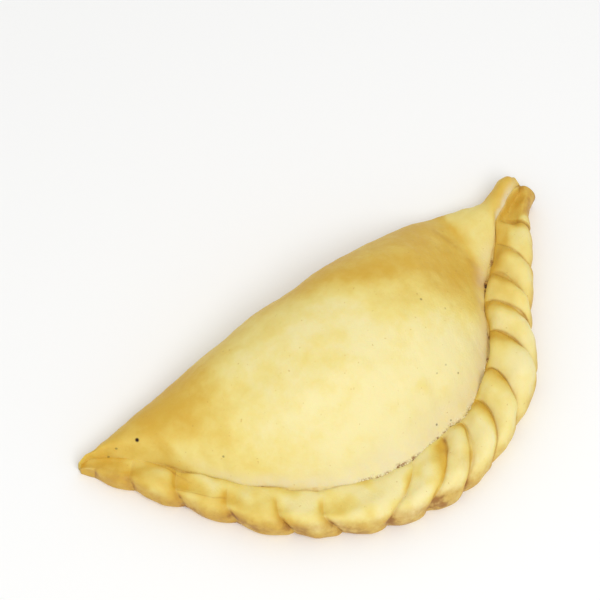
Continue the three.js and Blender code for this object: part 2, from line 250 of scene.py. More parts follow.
# Patterns in the dough: how wide their spots are in millimetres, their detail and roughness
PATTERNS = {
    "mottle": (16, 3, 0.5), "patches": (4.5, 4, 0.6), "grain": (0.7, 3, 0.6),
    "specks": (1.1, 1, 0.5), "scorching": (1.2, 3, 0.7),
}
WRINKLES = (1.3, 2, 0.5)  # the same three
WRINKLE_STRETCH = (1, 8, 8)
WRINKLE_TURN = math.radians(56)  # the wrinkles run from the crown out to the seam
WRINKLE_RELIEF, LUMP_RELIEF = 1.4, 1.6  # beside 1 for the fine grain
PIT_DARK, PIT_CLEAR = 0.5, 1.3  # of a pit's size: dark up to the first, clear from the second on

# The photograph's view: the camera's lens and place, and the studio round it
LENS, SENSOR = 135, 36
VIEW_FROM, VIEW_DISTANCE, VIEW_MIDDLE = (-34.43, 60), 634, (2.98, 38.2, 0)
FLOOR_REACH = 4.0  # metres to each side
SKY_STRENGTH = 0.72
LAMP_FROM, LAMP_DISTANCE, LAMP_SIZE, LAMP_POWER = (-14, 57), 0.9, 0.5, 3.0  # metres and watts


def mix(a, b, t):
    return a + (b - a) * t


def clamp01(t):
    return np.clip(t, 0, 1)


def smooth(t):
    return clamp01(t) ** 2 * (3 - 2 * clamp01(t))


def rise(value, start, over):
    """From 0 at the start to 1 once it is over this far past it, eased at both ends."""
    return smooth((value - start) / over)


def bump(value, centre, reach):
    return np.exp(-(((value - centre) / reach) ** 2))


def signed_power(value, power):
    return np.sign(value) * np.abs(value) ** power


def wander(value, wavelength, seed):
    """A gentle random line, mostly between -1 and 1, that swings about once a wavelength."""
    random = np.random.default_rng(seed)
    waves = [(random.uniform(0.6, 1.7), random.uniform(0, math.tau)) for _ in range(6)]
    return sum(np.sin(math.tau * value * rate / wavelength + phase) for rate, phase in waves) / 2.4


def ripple(points, wavelength, seed, waves=26):
    """A gentle random field, mostly between -1 and 1, with hills about half a wavelength wide."""
    random = np.random.default_rng(seed)
    directions = random.normal(size=(waves, 3))
    directions /= np.linalg.norm(directions, axis=1)[:, None]
    rates = random.uniform(0.6, 1.6, waves) * math.tau / wavelength
    phases = random.uniform(0, math.tau, waves)
    return np.sin(points @ (directions * rates[:, None]).T + phases).sum(-1) / math.sqrt(waves)


class PlanLine:
    """A smooth line through plan points, read at a distance along it."""

    def __init__(self, points, steps=300):
        knots = np.array([points[0], *points, points[-1]], float)
        t = np.linspace(0, 1, steps, endpoint=False)[:, None]
        spans = []
        for before, start, end, after in zip(knots, knots[1:], knots[2:], knots[3:]):
            leave, arrive = (end - before) / 2, (after - start) / 2
            cubic = 2 * (start - end) + leave + arrive
            square = 3 * (end - start) - 2 * leave - arrive
            spans.append(((cubic * t + square) * t + leave) * t + start)
        self.points = np.vstack([*spans, knots[-1:]])
        self.reached = np.append(0, np.cumsum(np.hypot(*np.diff(self.points, axis=0).T)))
        self.length = self.reached[-1]

    def at(self, distance):
        return [np.interp(distance, self.reached, self.points[:, k]) for k in (0, 1)]

    def along(self, distance, reach=0.05):
        inside = np.clip(distance, reach, self.length - reach)
        ahead, behind = self.at(inside + reach), self.at(inside - reach)
        x, y = ahead[0] - behind[0], ahead[1] - behind[1]
        return x / np.hypot(x, y), y / np.hypot(x, y)


rope_line = PlanLine(ROPE_LINE)
fold_line = PlanLine(FOLD_LINE)


def eased(stations, distance):
    """Values at a distance along the rope, eased from one station to the next."""
    upper = np.clip(np.searchsorted(stations[:, 0], distance, side="right"), 1, len(stations) - 1)
    before, after = stations[upper - 1], stations[upper]
    t = smooth((distance - before[..., 0]) / (after[..., 0] - before[..., 0]))
    return [mix(before[..., k], after[..., k], t) for k in range(1, stations.shape[1])]


def filling(x):
    """How full the crust is at x: 1 at the crown, 0 where the two sheets meet."""
    reach, fullness, fade = np.where(
        (x > CROWN_X)[..., None], FILLING_TO_TAB, FILLING_TO_TIP
    ).transpose((x.ndim, *range(x.ndim)))
    return (1 - clamp01(np.abs(x - CROWN_X) / reach) ** fullness) ** fade


def make_ribs():
    """One row a rib: distance at the seam, slide over the top and down the outside, share of its
    pleat, and pleat's number."""
    ribs = []
    stops = [TAB, *PLEATS, TIP]
    for number, (pleat, following) in enumerate(zip(stops, stops[1:]), start=-1):
        steps = round((following[0] - pleat[0]) / RIB_SPACING)
        for i in range(steps):
            t = i / steps
            share = t - (RIBS_CLOSE_IN * math.sin(math.tau * t) / math.tau if number >= 0 else 0)
            place = [mix(pleat[k], following[k], share) for k in (0, 1, 2)]
            ribs.append((*place, share if number >= 0 else 0.5, number))
    end = rope_line.length - TAB_LENGTH
    steps = round((end - TIP[0]) / RIB_SPACING)
    for i in range(steps + 1):
        ribs.append((mix(TIP[0], end, i / steps), TIP[1] * (1 - i / steps), 0, 0, len(PLEATS)))
    return np.array(ribs)


ribs = make_ribs()
seam_at, slide, slide_down, within = [ribs[:, k:k + 1] for k in range(4)]
pleat_number = ribs[:, 4:5].astype(int)
all_pleats = np.vstack([PLEATS, TIP, TAB])  # the tab's number, -1, reads the last row
top_roll, rim_roll, roll_start, hollow, hollow_share = [
    all_pleats[pleat_number, k] for k in range(3, 8)
]


def steep_share(across):
    """The share of a pleat that its steep side takes."""
    rim = np.where(pleat_number < LOOSE_PLEATS, STEEP_AT_LOOSE_RIM, STEEP_AT_RIM)
    return mix(STEEP_AT_TOP, rim, clamp01(across * STEEP_CHANGES_BY))


def section(distance, across):
    """The rope's smooth section: how far out, how high, and the way out and up that it swells."""
    angle = mix(SEAM_ANGLE, FLOOR_ANGLE, across)
    rim_width, top, lift = eased(ROPE, distance)
    seam_width = eased(SEAM_INSET, distance)[0]
    middle = top * MIDDLE_OF_TOP
    width = np.where(np.cos(angle) > 0, seam_width / math.cos(SEAM_ANGLE) ** TOP_OUT, rim_width)
    under = np.sin(angle) < 0
    out = -signed_power(np.cos(angle), np.where(under, UNDER_OUT, TOP_OUT))
    up = signed_power(np.sin(angle), np.where(under, UNDER_UP, TOP_UP))
    reach = width * out
    height = middle + np.where(under, middle, top - middle) * up
    height = height + lift * smooth(1 - across / LIFT_ACROSS)
    over = np.where(angle > math.pi, 1, clamp01((reach + seam_width) / (seam_width + rim_width)))
    return reach, height, out, up, over


def hollow_at(across):
    """The thumb's hollow, deepest at the foot of the next pleat, whose steep side ends it."""
    comes_in_over = np.maximum(hollow_share * HOLLOW_EASE, 0.01)
    own = hollow * rise(within, 1 - hollow_share, comes_in_over)
    before = all_pleats[np.maximum(pleat_number - 1, 0), 6] * (pleat_number > 0)
    depth = np.maximum(own, before * smooth(1 - within / HOLLOW_PAST)) * (pleat_number >= 0)
    pressed = depth * bump(across, HOLLOW_ACROSS, HOLLOW_REACH)
    in_pocket = smooth((seam_at - TAB[0]) / TAB_END_LIP) * (pleat_number < 0)
    past_pocket = smooth(1 - within / TAB_POCKET_FADES) * (pleat_number == 0)
    pocket = TAB[6] * (in_pocket + past_pocket) * bump(across, TAB_DENT_ACROSS, TAB_DENT_REACH)
    return (pressed + pocket) * smooth(across / SEAM_FOOT)


def rope_points(across):
    """Points on the rope, for all ribs at these shares of the way from the seam to the floor."""
    over = section(seam_at, across)[4]
    slid = slide * over ** SLIDE_CURVE
    slid = slid + slide_down * rise(across, SLIDE_DOWN_FROM, SLIDE_DOWN_TO - SLIDE_DOWN_FROM)
    steep = steep_share(across)
    up_the_steep = clamp01(within / steep)
    at_rim = rise(across, RIM_FROM, RIM_REACH)
    shape = np.where(
        within < steep,
        mix(np.sin(up_the_steep * math.pi / 2), np.sqrt(1 - (1 - up_the_steep) ** 2), at_rim),
        1 - clamp01((within - steep) / (1 - steep)) ** SINK_CURVE,
    )
    started = rise(across, roll_start, START_EASE) * smooth(across / SEAM_FOOT)
    to_floor = mix(1, SWELL_AT_FLOOR, rise(across, TO_FLOOR_FROM, 1 - TO_FLOOR_FROM))
    swell = mix(top_roll, rim_roll, at_rim) * shape * started * to_floor
    sharp = mix(1 - rise(seam_at, SOFT_FROM, SOFT_TO - SOFT_FROM), 1, at_rim)
    lean = OVERLAP * sharp * np.sin(math.pi * up_the_steep) * started
    lean = lean * smooth((1 - across) / OVERLAP_ENDS)
    distance = seam_at + slid - lean * (pleat_number >= 0) * (top_roll > 0)
    x, y = rope_line.at(distance + TAB_LENGTH)
    along_x, along_y = rope_line.along(distance + TAB_LENGTH)
    reach, height, out, up, _ = section(distance, across)
    reach = reach + swell * out
    z = height + (swell - hollow_at(across)) * up
    return np.stack([x - along_y * reach, y + along_x * reach, np.maximum(z, 0)], -1), distance


def rope_steps():
    """Shares across the rope, closer together beside the seam."""
    t = np.arange(1, ROPE_STEPS + 1) / ROPE_STEPS
    return mix(t ** ROPE_STEPS_CURVE, t, clamp01(t * ROPE_STEPS_EVEN_BY))


def dome_points():
    """Points from the floor under the fold, round its nose and over the dome to the seam."""
    seam = rope_points(np.array([[0.0]]))[0][:, 0]
    share = clamp01((seam_at[:, 0] + TAB_LENGTH) / rope_line.length)
    nose_x, nose_y = fold_line.at(share * fold_line.length)
    length = np.hypot(seam[:, 0] - nose_x, seam[:, 1] - nose_y)[:, None]
    seam_z = seam[:, 2:3]
    inner_x = mix(nose_x, seam[:, 0], FILLING_READ_AT)[:, None]
    rounding = mix(ROUNDING_FLAT, ROUNDING_FILLED, filling(inner_x))
    rounding = np.minimum(rounding, length * MOST_ROUNDING)
    nose_z = np.minimum(NOSE_HEIGHT, seam_z * NOSE_SHARE_OF_SEAM)
    undercut = np.minimum(UNDERCUT, length * MOST_UNDERCUT)
    flat = np.minimum(FLAT_HEIGHT, seam_z + FLAT_ABOVE_SEAM)

    under = np.linspace(0, 1, UNDER_STEPS, endpoint=False) * math.pi / 2
    nose = np.linspace(0, 1, NOSE_STEPS, endpoint=False) * math.pi / 2
    band = np.minimum(SEAM_BAND, length * SEAM_BAND_SHARE)
    t = np.linspace(0, 1, DOME_STEPS, endpoint=False)
    s = np.linspace(0, 1, SEAM_STEPS + 1)
    inwards = np.concatenate([
        undercut * (1 - np.sin(under)),
        rounding * (1 - np.cos(nose)),
        mix(rounding, length - band, t),
        length - band * (1 - s) ** SEAM_STEPS_CURVE,
    ], axis=1)
    x = mix(nose_x[:, None], seam[:, 0:1], inwards / length)
    y = mix(nose_y[:, None], seam[:, 1:2], inwards / length)
    top = mix(flat, CROWN_HEIGHT, filling(x))
    over = clamp01((inwards - rounding) / (length - rounding))
    z = mix(seam_z, top, (1 - over ** SEAM_FULLNESS) ** SEAM_FADE)
    z[:, :UNDER_STEPS] = nose_z * (1 - np.cos(under))
    rounded = slice(UNDER_STEPS, UNDER_STEPS + NOSE_STEPS)
    z[:, rounded] = mix(nose_z, top[:, rounded], np.sin(nose))
    return np.stack([x, y, z], -1), inwards, length - inwards


def outward(grid):
    """The outward direction at each point of the closed grid of ribs."""
    normal = np.cross(np.gradient(grid, axis=0), np.roll(grid, -1, 1) - np.roll(grid, 1, 1))
    return normal / np.maximum(np.linalg.norm(normal, axis=-1, keepdims=True), 1e-9)


def make_crust():
    """The crust's grid of points, and beside it where each point lies."""
    dome, from_fold, from_seam = dome_points()
    shares = rope_steps()[None, :]
    rope, distance = rope_points(shares)
    rope[:, -1, 2] = 0
    base_t = np.arange(1, BASE_STEPS + 1)[None, :, None] / (BASE_STEPS + 1)
    base = mix(rope[:, -1:], dome[:, :1], base_t)
    grid = np.concatenate([dome, rope, base], axis=1)
    row = np.arange(grid.shape[1])
    of_dome, of_rope, of_base = np.split(row, [dome.shape[1], dome.shape[1] + ROPE_STEPS])
    names = ("across", "along", "from_fold", "from_seam", "on_dome", "on_rope", "on_base")
    lies = {name: np.zeros(grid.shape[:2]) for name in names}
    lies["across"][:, of_rope] = shares
    lies["across"][:, of_base] = 1
    lies["along"][:] = seam_at
    lies["along"][:, of_rope] = distance
    lies["from_fold"][:] = FAR
    lies["from_fold"][:, of_dome] = from_fold
    lies["from_seam"][:, of_dome] = from_seam
    lies["from_seam"][:, of_rope] = shares * ROPE_GIRTH
    lies["from_seam"][:, of_base] = FAR
    for name, rows_there in (("on_dome", of_dome), ("on_rope", of_rope), ("on_base", of_base)):
        lies[name][:, rows_there] = 1
    return grid, lies


drawn, lies = make_crust()
across, along = lies["across"], lies["along"]
from_seam, from_fold = lies["from_seam"], lies["from_fold"]
on_dome, on_rope, on_base = lies["on_dome"], lies["on_rope"], lies["on_base"]
soft = rise(along, SOFT_FROM, SOFT_TO - SOFT_FROM)
hollows = np.broadcast_to(hollow_at(across), across.shape) * on_rope
crease_from = np.maximum(roll_start - CREASE_AHEAD, 0)
begun = rise(across, crease_from, CREASE_EASE) * (top_roll > 0) * on_rope
ridge = smooth((RIDGE_UP_TO - along) / RIDGE_FADES)
at_tip = rise(along, *TIP_CLOSES)


def crease_distance():
    """How far each point on the rope is, along it, from the nearer of the creases round it."""
    over = section(along, across)[4] ** SLIDE_CURVE
    down = rise(across, SLIDE_DOWN_FROM, SLIDE_DOWN_TO - SLIDE_DOWN_FROM)
    creases = np.vstack([PLEATS, TIP])
    number = np.clip(pleat_number, 0, len(PLEATS) - 1)
    before, after = [
        creases[n, 0] + creases[n, 1] * over + creases[n, 2] * down for n in (number, number + 1)
    ]
    return np.minimum(np.abs(along - before), np.abs(after - along))


to_crease = crease_distance()


def softened(points):
    """The points with the lower rolls evened out, where the dough ran together as it baked."""
    points = points.copy()
    for _ in range(SOFTENED):
        evened = points[:-2, 1:-1] + points[2:, 1:-1] + points[1:-1, :-2] + points[1:-1, 2:]
        share = (soft * on_rope * smooth(points[..., 2] / SOFTENED_ABOVE))[1:-1, 1:-1, None]
        points[1:-1, 1:-1] = mix(points[1:-1, 1:-1], evened / 4, SOFTENED_SHARE * share)
    return points


def finely_formed(points):
    """The points moved in or out by the creases, the seam's groove and the dough's unevenness."""
    crease = bump(to_crease, 0, mix(CREASE_WIDTH, SOFT_CREASE_WIDTH, soft)) * begun
    crease = crease * mix(CREASE_DEPTH, SOFT_CREASE_DEPTH, soft)
    crease = crease * smooth((1 - across) / CREASE_ENDS)
    filled = np.maximum(rise(along, *FILLED_FROM) * (1 - rise(along, *FILLED_TO)), at_tip)
    groove = mix(SEAM_DEPTH, -SEAM_FILL, filled) * bump(from_seam, 0, SEAM_WIDTH) * (1 - ridge)
    hills = sum(height * ripple(points, size, seed) for height, size, seed in UNEVEN)
    lift = hills - crease - groove
    height, size, seed = ROPE_UNEVEN
    lift = lift + height * ripple(points, size, seed) * on_rope
    lift = lift * smooth(points[..., 2] / FORMED_ABOVE)
    points = points + outward(points) * lift[..., None]
    points[..., 2] = np.maximum(points[..., 2], 0)
    return points


grid = finely_formed(softened(drawn))


def near_seam(distance, reach, width):
    """A mark beside the seam, centred at a distance along it."""
    return bump(along, distance, reach) * bump(from_seam, 0, width)


def line_distance(x, y, line):
    """How far points are, in plan, from a line of short straight stretches."""
    nearest = np.full(x.shape, np.inf)
    for (x0, y0), (x1, y1) in zip(line, line[1:]):
        reach = math.hypot(x1 - x0, y1 - y0)
        along_x, along_y = (x1 - x0) / reach, (y1 - y0) / reach
        t = np.clip((x - x0) * along_x + (y - y0) * along_y, 0, reach)
        nearest = np.minimum(nearest, np.hypot(x - x0 - along_x * t, y - y0 - along_y * t))
    return nearest


def rippled(waves):
    """A field of gentle hills on the finished crust, from their height, size and seed."""
    height, size, seed = waves
    return height * ripple(grid, size, seed)


def on_rope_spots(spots):
    """Round spots on the rope, from their distance along it, share across, size and strength."""
    return sum(
        amount * bump(along, distance, size) * bump(across, share, size / ROPE_GIRTH)
        for distance, share, size, amount in spots
    )


def golden_dome(x, y):
    """How golden the dome is: most along the fold, at both ends and where the filling ends."""
    height, size, seed = EDGE_WAVES
    at_end = rise(-x + height * ripple(drawn, size, seed), *TIP_END)
    to_tip = rise(-x, *SIDE_TO_TIP) * mix(0.35, 1, rise(from_seam, *PALE_BESIDE_SEAM))
    to_tip = np.maximum(to_tip, at_end)
    shoulder = bump(x, *SHOULDER)
    height, size, seed = BULGE_WAVES
    near_fold = 1 - smooth(from_fold / 8)
    past_bulge = 1 - 0.7 * rise(x + height * ripple(drawn, size, seed) * near_fold, *PAST_BULGE)
    # along the fold: partly browning and partly painted shade, where the dome turns away from the
    # lamp
    fold_browning_and_shade = 1 - rise(from_fold, mix(FOLD_EDGE, SHOULDER_EDGE, shoulder), FOLD_BAND)
    fold_browning_and_shade = fold_browning_and_shade * mix(0.5, 1.6, shoulder) * past_bulge
    # towards the fold side of the dome: partly browning and partly painted shade
    upper = rise(y, *UPPER_SIDE) * mix(0.14, 0.74, rise(x, *TO_THE_TAB)) * past_bulge
    # along the bulge's foot: a line of painted shade
    foot = bump(line_distance(x, y, BULGE_FOOT), 0, FOOT_SHADE_WIDTH)
    # the bulge's flank towards the tab: painted shade in the hollow where the filling ends
    flank_shade = bump(x, *FLANK_SHADE) * rise(y, *FLANK_SHADE_UP)
    dome = fold_browning_and_shade + upper + 0.5 * foot + 0.35 * flank_shade + 0.5 * rise(x, *TAB_SIDE)
    return dome + (0.62 - 0.4 * rise(-x, *TIP_LESS)) * to_tip, to_tip


def golden_rope(to_tip):
    """How golden the rope is: most in its creases, at its root by the tab and on its outer side."""
    upright = 1 - rise(along, *LOWER_ROLLS)
    near_root = 1 - rise(across, *NEAR_ROOT)
    # the steep side of each pleat after its crease: partly browning and partly painted shade
    crease_share = mix(0.3, mix(0.34, 0.6, near_root), upright)  # of a pleat, from its crease on
    steep_side_browning_and_shade = (1 - smooth(within / crease_share)) * (pleat_number >= 0) * begun
    rope = 0.1 + steep_side_browning_and_shade * mix(0.3, 0.75 + 0.4 * near_root, upright)
    # the outer side's gold is partly browning and partly painted shade under the rolls
    rope = rope + 0.5 * rise(across, *OUTER_SIDE) + 0.25 * hollows + 0.48 * to_tip
    rope = rope + 1.15 * rise(-along, *TAB_POCKET) + 0.25 * (1 - rise(along, *FIRST_PLEATS))
    rope = rope + 1.3 * bump(along, *AMBER_ROOT) * bump(across, *AMBER_ROOT_ACROSS)
    # beside the seam's groove: a golden tint that deepens the groove's shade, painted shade
    root = rise(along, *ROOT_FROM) * (1 - rise(along, *ROOT_TO)) * bump(from_seam, 0, SEAM_SIDE)
    rope = rope + 0.7 * root + 0.3 * rise(along, *TIP_ROPE)
    return rope + on_rope_spots(TINTED) + rippled(ROPE_MOTTLE) * rise(along, *ROPE_MOTTLE_FROM)


def brown_marks(x, y):
    """How brown the dough is: in the creases and the seam, outside the rope and on the base."""
    depth = mix(0.45, 0.65, rise(across, 0.25, 0.2))  # of colour, in the sharp creases
    # thin brown lines in the creases: partly browning and partly painted shade in the crease
    brown = bump(to_crease, 0, mix(0.5, 1.0, soft)) * begun * mix(depth, 0.28, soft) * on_rope
    broken = mix(1, smooth(0.5 + 0.8 * wander(along, 4, 9)), bump(along, 82, 36))
    # the dark line in the seam's groove: partly browning and partly painted shade
    seam_line_browning_and_shade = mix(0.5, 0.3, bump(along, 80, 40)) * broken * (1 - ridge) * (1 - at_tip)
    brown = np.maximum(brown, bump(from_seam, 0, 0.4) * seam_line_browning_and_shade)
    # the rope's outer side, darker towards the floor: partly browning and partly painted shade
    # under the rolls
    outside = rise(across, mix(0.5, 0.46, soft), 0.24) * mix(0.45, 0.6 + 0.3 * within, soft)
    outside = outside * (1 - 0.4 * at_tip)
    in_pocket = rise(-along, *TAB_POCKET)
    rope = np.maximum(outside, 0.75 * in_pocket * rise(across, 0.4, 0.1))
    rope = rope + 0.1 * rise(-along, 1, 3) * bump(across, 0.2, 0.16)  # a little down in the pocket
    rope = rope + 0.35 * rise(along, 176, 6) * bump(across, 0.35, 0.2)  # the rope's end at the tip
    rope = rope + 0.9 * rise(-along, 7.5, 2)  # the end face of the tab
    # fine dark lines along the soft rolls: painted crease shade with some browning
    for line in FINE_LINES:
        line = [(distance, share * ROPE_GIRTH) for distance, share in line]
        rope = rope + 0.5 * bump(line_distance(along, across * ROPE_GIRTH, line), 0, 0.4)
    rope = rope + on_rope_spots(TOASTED)
    # along the bulge's foot: a line of painted shade
    foot = bump(line_distance(x, y, BULGE_FOOT), 0, FOOT_SHADE_LINE)
    return brown + rope * on_rope + 0.35 * foot * on_dome + 0.75 * on_base


def flour_marks():
    """How floury the dough is: a band of the dome beside the seam, and the inside of the tab."""
    dusted = rise(along, *DUSTED_FROM) * (1 - rise(along, *DUSTED_TO))
    band = mix(mix(BAND_BY_TAB, BAND_AT_MIDDLE, dusted), BAND_AT_TIP, rise(along, *BAND_NARROWS))
    flour = dusted * (1 - smooth((from_seam - 1) / band)) * on_dome
    in_tab = bump(along, *TAB_FLOUR) * bump(from_seam, *TAB_FLOUR_FROM_SEAM)
    flour = flour * mix(0.6, 1, rise(along, *FULLY_DUSTED)) + 1.1 * in_tab * mix(0.3, 1, on_dome)
    return flour * np.maximum(smooth(from_seam / 0.5), ridge)  # the seam's own groove stays clean


def bake_and_shade_marks():
    """How golden, how brown and how floury the dough is at each point, each 0 to 1; golden and
    brown hold painted shade as well as browning.
    """
    x, y = drawn[..., 0], drawn[..., 1]
    dome, to_tip = golden_dome(x, y)
    golden = dome * on_dome + golden_rope(to_tip) * on_rope + 0.8 * on_base
    return golden + sum(rippled(waves) for waves in MOTTLE), brown_marks(x, y), flour_marks()


def fine_marks():
    """How burnt, as a share of MOST_BURNT, and how wrinkled the dough is at each point."""
    burnt = sum(
        amount * near_seam(distance, reach, width) for distance, reach, width, amount in CRACKS
    )
    burnt = burnt + 0.45 * near_seam(85, 26, 0.7)  # faintly, all along the middle of the seam
    wrinkled = bump(drawn[..., 0], 32, 16) * bump(drawn[..., 1], -18, 14) * on_dome
    return burnt / MOST_BURNT, wrinkled


def closed_faces(columns, rows):
    """Quads round and along the grid, then a fan over each end."""
    i, j = np.meshgrid(np.arange(columns - 1), np.arange(rows), indexing="ij")
    k = (j + 1) % rows
    quads = np.stack([i * rows + j, (i + 1) * rows + j, (i + 1) * rows + k, i * rows + k], -1)
    faces = quads.reshape(-1, 4).tolist()
    first, last = columns * rows, columns * rows + 1
    for j in range(rows):
        k = (j + 1) % rows
        faces.append([first, j, k])
        faces.append([last, (columns - 1) * rows + k, (columns - 1) * rows + j])
    return faces


def in_scene(name, data):
    """An object for a mesh, a lamp or a camera, in the scene."""
    thing = bpy.data.objects.new(name, data)
    bpy.context.scene.collection.objects.link(thing)
    return thing


low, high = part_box(SOLID)
middle = (drawn.reshape(-1, 3).min(0) + drawn.reshape(-1, 3).max(0)) / 2
solid_x, solid_y = [(low[k] + high[k]) / 2 / MM for k in (0, 1)]
drawing_to_part = np.array([solid_x - middle[0], solid_y - middle[1], 0])
columns, rows = grid.shape[:2]
points = np.vstack([grid.reshape(-1, 3), grid[0].mean(0), grid[-1].mean(0)]) + drawing_to_part
mesh = bpy.data.meshes.new("crust")
mesh.from_pydata((points * MM).tolist(), [], closed_faces(columns, rows))
mesh.polygons.foreach_set("use_smooth", [True] * len(mesh.polygons))
crust = in_scene("crust", mesh)


def add_marks(name, marks):
    """Keeps fields of marks on the crust as the red, green and blue of one attribute."""
    values = np.ones((len(points), 4))
    for k, field in enumerate(marks):
        field = clamp01(np.broadcast_to(field, grid.shape[:2]))
        values[:-2, k] = field.reshape(-1)
        values[-2:, k] = field[0].mean(), field[-1].mean()
    attribute = mesh.attributes.new(name, "FLOAT_COLOR", "POINT")
    attribute.data.foreach_set("color", values.astype(np.float32).reshape(-1))


add_marks("bake_and_shade", bake_and_shade_marks())
add_marks("marks", fine_marks())

MIX_FACTOR, MIX_A, MIX_B, MIX_COLOUR = 0, 6, 7, 2  # a colour mix node's own places for these


def linear(hex_colour):
    """A colour such as #F3E291 as the linear values that a shader takes."""
    channels = [int(hex_colour[i:i + 2], 16) / 255 for i in (1, 3, 5)]
    return [c / 12.92 if c <= 0.04045 else ((c + 0.055) / 1.055) ** 2.4 for c in channels] + [1]


def add(tree, kind, inputs=None, **settings):
    """Adds a node with its settings, and sets or links its inputs."""
    node = tree.nodes.new(kind)
    for name, value in settings.items():
        setattr(node, name, value)
    fill(tree, node, inputs or {})
    return node


def fill(tree, node, inputs):
    """Gives each input of a node a value, an output, or the first output of another node."""
    for name, value in inputs.items():
        if isinstance(value, bpy.types.Node):
            value = value.outputs[0]
        if isinstance(value, bpy.types.NodeSocket):
            tree.links.new(value, node.inputs[name])
        else:
            node.inputs[name].default_value = value


# Baked lard dough: matt and pale where it rose, golden where it is thin, brown in its creases and
# on its base, with flour left beside the seam. Its colour also holds painted shade: darker gold
# along the fold and on the bulge's flank, and gold and brown in the creases and on the rope's outer
# side.
dough = bpy.data.materials.new("baked_dough")
dough.use_nodes = True
tree = dough.node_tree
place = add(tree, "ShaderNodeTexCoord").outputs["Object"]
bake_and_shade = add(tree, "ShaderNodeAttribute", attribute_name="bake_and_shade")
golden, brown, flour = add(tree, "ShaderNodeSeparateColor", {"Color": bake_and_shade}).outputs
fine = add(tree, "ShaderNodeAttribute", attribute_name="marks")
burnt, wrinkled, _ = add(tree, "ShaderNodeSeparateColor", {"Color": fine}).outputs
pattern = {}
for name, (size, detail, rough) in PATTERNS.items():
    inputs = {"Vector": place, "Scale": 1 / (size * MM), "Detail": detail, "Roughness": rough}
    pattern[name] = add(tree, "ShaderNodeTexNoise", inputs)


def varied(mark, operation, name, low, high, least, most):
    """A mark changed by least to most, eased, as a pattern goes from low to high."""
    inputs = {
        "Value": pattern[name], "From Min": low, "From Max": high, "To Min": least, "To Max": most,
    }
    change = add(tree, "ShaderNodeMapRange", inputs, interpolation_type="SMOOTHSTEP")
    return add(tree, "ShaderNodeMath", {0: mark, 1: change}, operation=operation)


def coat(under, mark, low, high, thin, thick, paint):
    """A colour with a coat over it, eased from thin to thick as a mark goes from low to high."""
    inputs = {"Value": mark, "From Min": low, "From Max": high, "To Min": thin, "To Max": thick}
    share = add(tree, "ShaderNodeMapRange", inputs, interpolation_type="SMOOTHSTEP")
    inputs = {MIX_FACTOR: share, MIX_A: under, MIX_B: linear(paint)}
    return add(tree, "ShaderNodeMix", inputs, data_type="RGBA").outputs[MIX_COLOUR]


golden = varied(golden, "ADD", "mottle", 0.3, 0.7, -0.11, 0.11)
golden = varied(golden, "ADD", "patches", 0.3, 0.7, -0.09, 0.09)
brown = varied(brown, "MULTIPLY", "patches", 0.3, 0.65, 0.55, 1.15)
flour = varied(flour, "MULTIPLY", "patches", 0.34, 0.62, 0.35, 1)
burnt = varied(burnt, "MULTIPLY", "scorching", 0.38, 0.6, 0, MOST_BURNT)

# The gold and brown coats follow the marks, so they lay the painted shade as well as the browning
colour = coat(linear(PALE), golden, -0.1, 0.4, 0, 1, YELLOW)
colour = coat(colour, golden, 0.25, 0.75, 0, 1, WARM)
colour = coat(colour, golden, 0.6, 1.1, 0, 1, GOLDEN)
colour = coat(colour, golden, 1.0, 1.7, 0, 1, AMBER)
colour = coat(colour, brown, 0, 0.75, 0, 0.7, TAN)
colour = coat(colour, brown, 0.6, 1.1, 0, 0.85, BROWN)
dusting = add(tree, "ShaderNodeMath", {0: flour, 1: 0.8}, operation="MULTIPLY")
inputs = {MIX_FACTOR: dusting, MIX_A: colour, MIX_B: linear(FLOUR)}
colour = add(tree, "ShaderNodeMix", inputs, data_type="RGBA").outputs[MIX_COLOUR]
colour = coat(colour, burnt, 0.05, 0.5, 0, 0.85, BROWN)
colour = coat(colour, burnt, 0.9, 1.5, 0, 0.95, CHAR)
for x, y, size, dark in PITS:
    off = np.hypot(drawn[..., 0] - x, drawn[..., 1] - y)
    nearest = np.argmin(np.where(on_dome > 0, off, FAR))
    inputs = {0: place, 1: Vector(points[nearest]) * MM}
    away = add(tree, "ShaderNodeVectorMath", inputs, operation="DISTANCE").outputs["Value"]
    colour = coat(colour, away, size * PIT_DARK * MM, size * PIT_CLEAR * MM, dark, 0, CHAR)
colour = coat(colour, pattern["specks"], 0.72, 0.8, 0, 0.4, TAN)

# Relief: fine grain all over, soft lumps, and wrinkles where the dough shrank near the crown
inputs = {"Vector": place, "Rotation": (0, 0, WRINKLE_TURN), "Scale": WRINKLE_STRETCH}
streaks = add(tree, "ShaderNodeMapping", inputs, vector_type="TEXTURE")
size, detail, rough = WRINKLES
inputs = {"Vector": streaks, "Scale": 1 / (size * MM), "Detail": detail, "Roughness": rough}
wrinkles = add(tree, "ShaderNodeTexNoise", inputs)
wrinkles = add(tree, "ShaderNodeMath", {0: wrinkles, 1: wrinkled}, operation="MULTIPLY")
inputs = {0: wrinkles, 1: WRINKLE_RELIEF, 2: pattern["grain"]}
relief = add(tree, "ShaderNodeMath", inputs, operation="MULTIPLY_ADD")
inputs = {0: pattern["patches"], 1: LUMP_RELIEF, 2: relief}
relief = add(tree, "ShaderNodeMath", inputs, operation="MULTIPLY_ADD")
bumps = add(tree, "ShaderNodeBump", {"Strength": 0.55, "Distance": 0.16 * MM, "Height": relief})

# Flour takes away the little gloss that the lard leaves
dulled = add(tree, "ShaderNodeMath", {0: flour, 1: 0.25}, operation="MULTIPLY")
fill(tree, tree.nodes["Principled BSDF"], {
    "Base Color": colour,
    "Roughness": varied(dulled, "ADD", "grain", 0.3, 0.7, 0.46, 0.58),
    "Normal": bumps,
    "Subsurface Weight": 0.18,
    "Subsurface Radius": (1.0, 0.6, 0.25),
    "Subsurface Scale": 2.5 * MM,
    "Specular IOR Level": 0.3,
})
mesh.materials.append(dough)

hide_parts(SOLID)
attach(crust, BODY)


